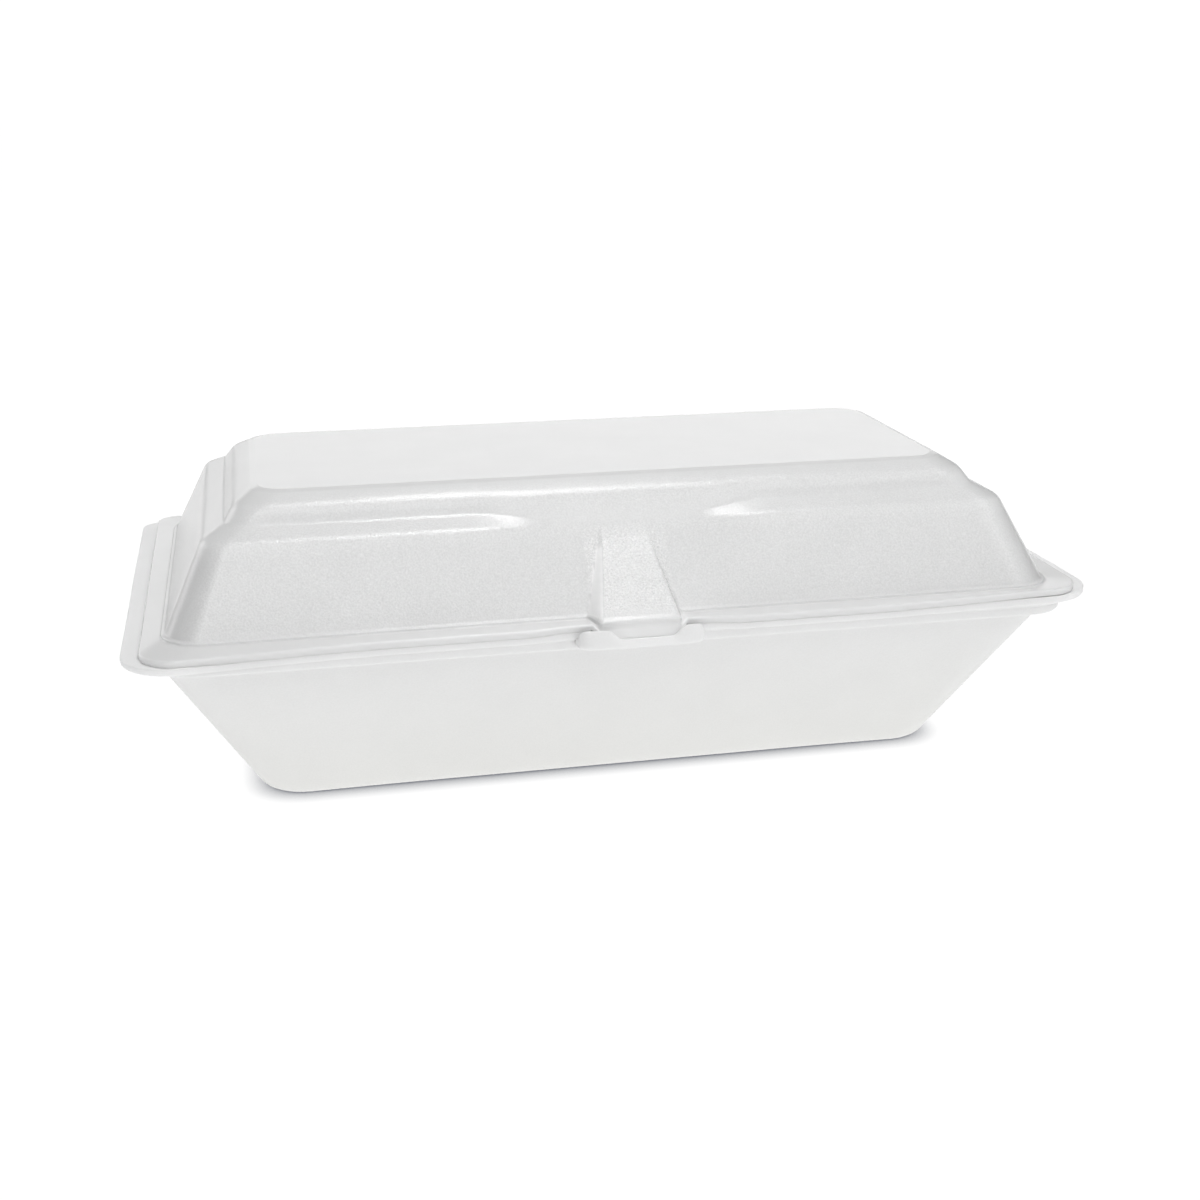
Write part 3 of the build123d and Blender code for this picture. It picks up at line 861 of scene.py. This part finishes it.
# %% [markdown]
# ## Dressing the pieces
#
# On the real box all is one foam, but the lid's face is glossier than the tray's. Tray and bar move with
# the base and the lid with its own body. The fold stays where it is. The two skins stand for the imported
# solids, which could be left showing under them but would poke through.

# %% Dress the pieces
for piece, finish in ((tray, tray_foam), (bar, tray_foam), (lid, lid_foam), (fold, tray_foam)):
    piece.data.materials.append(finish)
    print(piece.name, "is dressed in", finish.name)
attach(tray, "base")
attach(bar, "base")
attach(lid, "lid")
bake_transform(fold)
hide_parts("tray")
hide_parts("lid")

# %% [markdown]
# ## The table
#
# The picture is high key: the table is white like a light box and goes dark only where the box touches it.
# A lit white floor would turn grey towards its edges. So the table glows evenly, and ambient occlusion
# takes the glow away close to the foam, but only in the picture and not as light.

# %% Floor
FLOOR_HALF = 6.0
CONTACT = 0.0065         # how far the contact shadow reaches
SHADOW_TINT = (0.05, 0.06, 0.09, 1)
floor_mesh = bpy.data.meshes.new("floor")
corners = FLOOR_HALF * np.array([(-1, -1, 0), (1, -1, 0), (1, 1, 0), (-1, 1, 0)])
floor_mesh.from_pydata(corners, [], [(0, 1, 2, 3)])
floor = bpy.data.objects.new("floor", floor_mesh)
bpy.context.scene.collection.objects.link(floor)
table = Finish(bpy.data.materials.new("table_white"))
open_air = table.add("ShaderNodeAmbientOcclusion", {"samples": 8}, {"Distance": CONTACT})["AO"]
looked_at = table.add("ShaderNodeLightPath")["Is Camera Ray"]
glow = table.add("ShaderNodeMix", {"data_type": "RGBA"}, {
    "Factor": looked_at * (1.0 - open_air) ** 2.0, 6: (1.0, 1.0, 1.0, 1), 7: SHADOW_TINT,
})["Result"]
surface = table.add("ShaderNodeBsdfPrincipled", {}, {
    "Base Color": (0.06, 0.06, 0.06, 1), "Roughness": 0.9, "Specular IOR Level": 0.0,
    "Emission Color": glow, "Emission Strength": 1.0,
})["BSDF"]
table.add("ShaderNodeOutputMaterial", {}, {"Surface": surface})
floor.data.materials.append(table.data)
print("table nodes", len(table.tree.nodes))

# %% [markdown]
# ## The light
#
# A compact soft box overhead draws the bright bands on the lid's top edge and shoulder. It could be large
# and soft, but then the bands would spread over the slopes. A larger box over the front lights the walls,
# and weaker ones stand in front, at the right, behind and behind left. The surrounding is dim, which leaves
# the ends greyer.

# %% Surrounding
AROUND = 0.10            # strength of the surrounding as light
BACKDROP = 1.1           # and as the camera sees it
studio = bpy.data.worlds.new("studio")
bpy.context.scene.world = studio
air = Finish(studio)
seen = air.add("ShaderNodeLightPath")["Is Camera Ray"]
backdrop = air.add("ShaderNodeBackground", {}, {
    "Color": (1, 1, 1, 1), "Strength": AROUND + (BACKDROP - AROUND) * seen,
})["Background"]
air.add("ShaderNodeOutputWorld", {}, {"Surface": backdrop})
print("surrounding", AROUND, "seen as", BACKDROP)


# %% Soft boxes
def soft_box(name, spot, width, depth, power):
    """A rectangular area light at spot, turned to face the middle of the box.

    With the way from the spot to the box as (x, y, z), the tilt is the angle of (-z, length of x and y), and
    the turn about Z is the angle of (y, -x).
    """
    lamp = bpy.data.lights.new(name, "AREA")
    lamp.shape = "RECTANGLE"
    lamp.size, lamp.size_y, lamp.energy = width, depth, power
    box = bpy.data.objects.new(name, lamp)
    box.location = spot
    way = np.array((0, 0, PARTING)) - np.array(spot)
    box.rotation_euler = (np.arctan2(np.hypot(*way[:2]), -way[2]), 0, np.arctan2(-way[0], way[1]))
    bpy.context.scene.collection.objects.link(box)
    print(name, "at", spot, "power", power)


soft_box("key", (0.10, -0.02, 0.95), 0.44, 0.20, 4.0)
soft_box("over_front", (0.0, -0.90, 0.80), 1.2, 0.6, 4.2)
soft_box("front", (0.2, -1.40, 0.35), 1.2, 0.5, 2.0)
soft_box("right", (1.30, -0.60, 0.60), 0.8, 0.6, 1.6)
soft_box("behind", (0.10, 1.40, 0.40), 1.6, 0.5, 2.9)
soft_box("behind_left", (-1.00, 0.80, 0.45), 0.8, 0.6, 3.2)

# %% [markdown]
# ## The camera
#
# The camera stands where the photograph was taken: left of the middle and a little above, looking down. Its
# place could be found by eye; here it was fitted to the corners of the box, and the lens follows from the
# focal length in pixels of a square picture.

# %% Camera
FOCAL_PIXELS = 1587.09
FRAME_PIXELS = 1200
LOOK_DOWN, LOOK_RIGHT = 18.416, 12.358   # degrees
camera_data = bpy.data.cameras.new("camera")
camera_data.sensor_width = 36.0
camera_data.lens = camera_data.sensor_width * FOCAL_PIXELS / FRAME_PIXELS
camera_data.clip_start = 0.01
camera = bpy.data.objects.new("camera", camera_data)
camera.location = (-0.08809, -0.41934, 0.17993)
camera.rotation_euler = (np.radians(90 - LOOK_DOWN), 0, np.radians(-LOOK_RIGHT))
bpy.context.scene.collection.objects.link(camera)
bpy.context.scene.camera = camera
bpy.context.scene.view_settings.view_transform = "Standard"
print("lens", round(camera_data.lens, 2), "mm")
